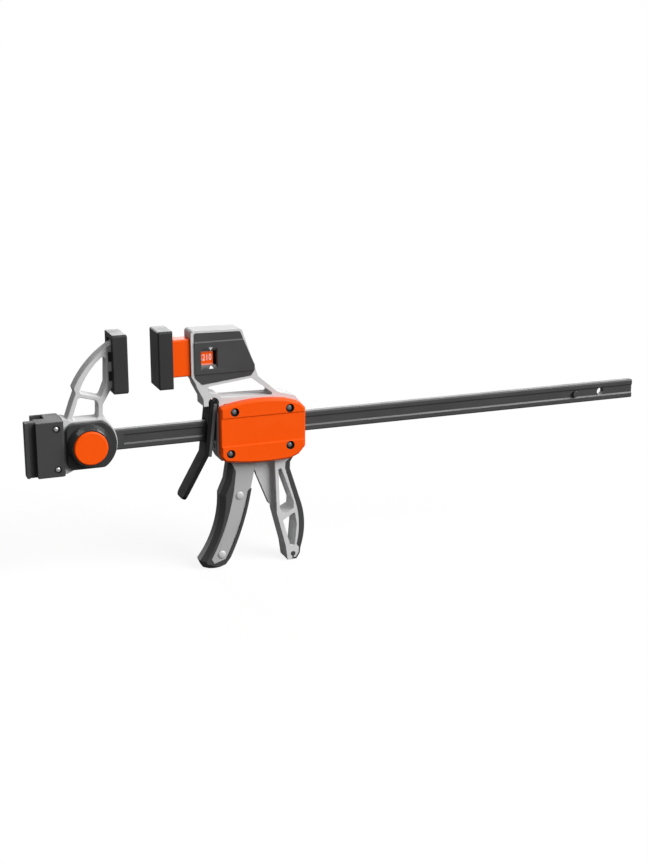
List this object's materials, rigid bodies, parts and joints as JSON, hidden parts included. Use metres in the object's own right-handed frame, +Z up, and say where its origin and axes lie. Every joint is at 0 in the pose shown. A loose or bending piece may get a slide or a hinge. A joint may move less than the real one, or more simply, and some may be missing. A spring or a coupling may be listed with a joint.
{
  "type": "one-handed bar clamp",
  "caption": "Bar clamp with an open cast fixed jaw locked by a round button, and a sliding jaw with a squeeze trigger, release lever, force gauge and rubber grips.",
  "frame": {"origin": "on the bench under the middle of the clamp's length, on the bar's mid-plane", "axes": "+X along the bar towards its free end, -Y the side with the button, +Z up from the bench that both handles stand on"},
  "size_m": [0.6238, 0.0427, 0.2329],
  "materials": {
    "bar_steel": "blackened",
    "pin_steel": "satin",
    "cast_alloy": "cast, satin",
    "pad_plastic": "matt",
    "dark_plastic": "matt",
    "orange_plastic": "satin",
    "screw_steel": "bright",
    "black_steel": "blackened",
    "sheet_steel": "satin",
    "grip_rubber": "matt",
    "spring_steel": "drawn"
  },
  "bodies": {
    "frame": {"bar": "bar_steel", "stop_pin": "pin_steel", "fixed_jaw": "cast_alloy", "fixed_jaw_pad": "pad_plastic", "lock_housing": "dark_plastic", "lock_cap": "dark_plastic", "coupling_block": "dark_plastic", "coupling_screws": "screw_steel", "lock_spring": "spring_steel"},
    "lock_button": {"lock_button": "orange_plastic", "lock_yoke": "pin_steel"},
    "moving_jaw": {"jaw_body": "cast_alloy", "cover_front": "orange_plastic", "cover_rear": "orange_plastic", "cover_screws": "black_steel", "gauge_panel_front": "dark_plastic", "gauge_panel_rear": "dark_plastic", "guide_rod": "pin_steel", "trigger_pin": "pin_steel", "handle_grip": "grip_rubber", "drive_spring": "spring_steel", "force_spring": "spring_steel", "brake_spring": "spring_steel"},
    "plunger": {"plunger": "orange_plastic", "moving_jaw_pad": "pad_plastic"},
    "release_lever": {"release_lever": "black_steel", "brake_plate": "black_steel"},
    "trigger": {"trigger": "sheet_steel", "trigger_grip": "grip_rubber", "trigger_rivets": "screw_steel"},
    "drive_plate": {"drive_plate": "pin_steel"}
  },
  "joints": [
    {"name": "button_press", "type": "slide", "parent": "frame", "child": "lock_button", "axis": [0, 1, 0], "range_m": [0, 0.0045], "stiffness_N_per_m": 2500, "springref_m": -0.002, "deforming": ["lock_spring"]},
    {"name": "jaw_slide", "type": "slide", "parent": "frame", "child": "moving_jaw", "axis": [1, 0, 0], "range_m": [-0.0272, 0.2934]},
    {"name": "plunger_press", "type": "slide", "parent": "moving_jaw", "child": "plunger", "axis": [1, 0, 0], "range_m": [0, 0.009], "stiffness_N_per_m": 20000, "springref_m": -0.001, "deforming": ["force_spring"]},
    {"name": "release_pull", "type": "hinge", "parent": "moving_jaw", "child": "release_lever", "pos_m": [-0.13885, 0, 0.1625], "axis": [0, -1, 0], "range_deg": [0, 6], "stiffness_Nm_per_rad": 6, "springref_deg": -2.86, "deforming": ["brake_spring"]},
    {"name": "trigger_squeeze", "type": "hinge", "parent": "moving_jaw", "child": "trigger", "pos_m": [-0.10365, 0, 0.1535], "axis": [0, -1, 0], "range_deg": [0, 15], "stiffness_Nm_per_rad": 6, "springref_deg": -5.73},
    {"name": "drive_feed", "type": "slide", "parent": "moving_jaw", "child": "drive_plate", "axis": [1, 0, 0], "range_m": [0, 0.00709], "stiffness_N_per_m": 800, "springref_m": -0.002, "deforming": ["drive_spring"]}
  ],
  "couplings": [
    {"joint": "drive_feed", "follows": "trigger_squeeze", "m_per_rad": 0.027}
  ]
}
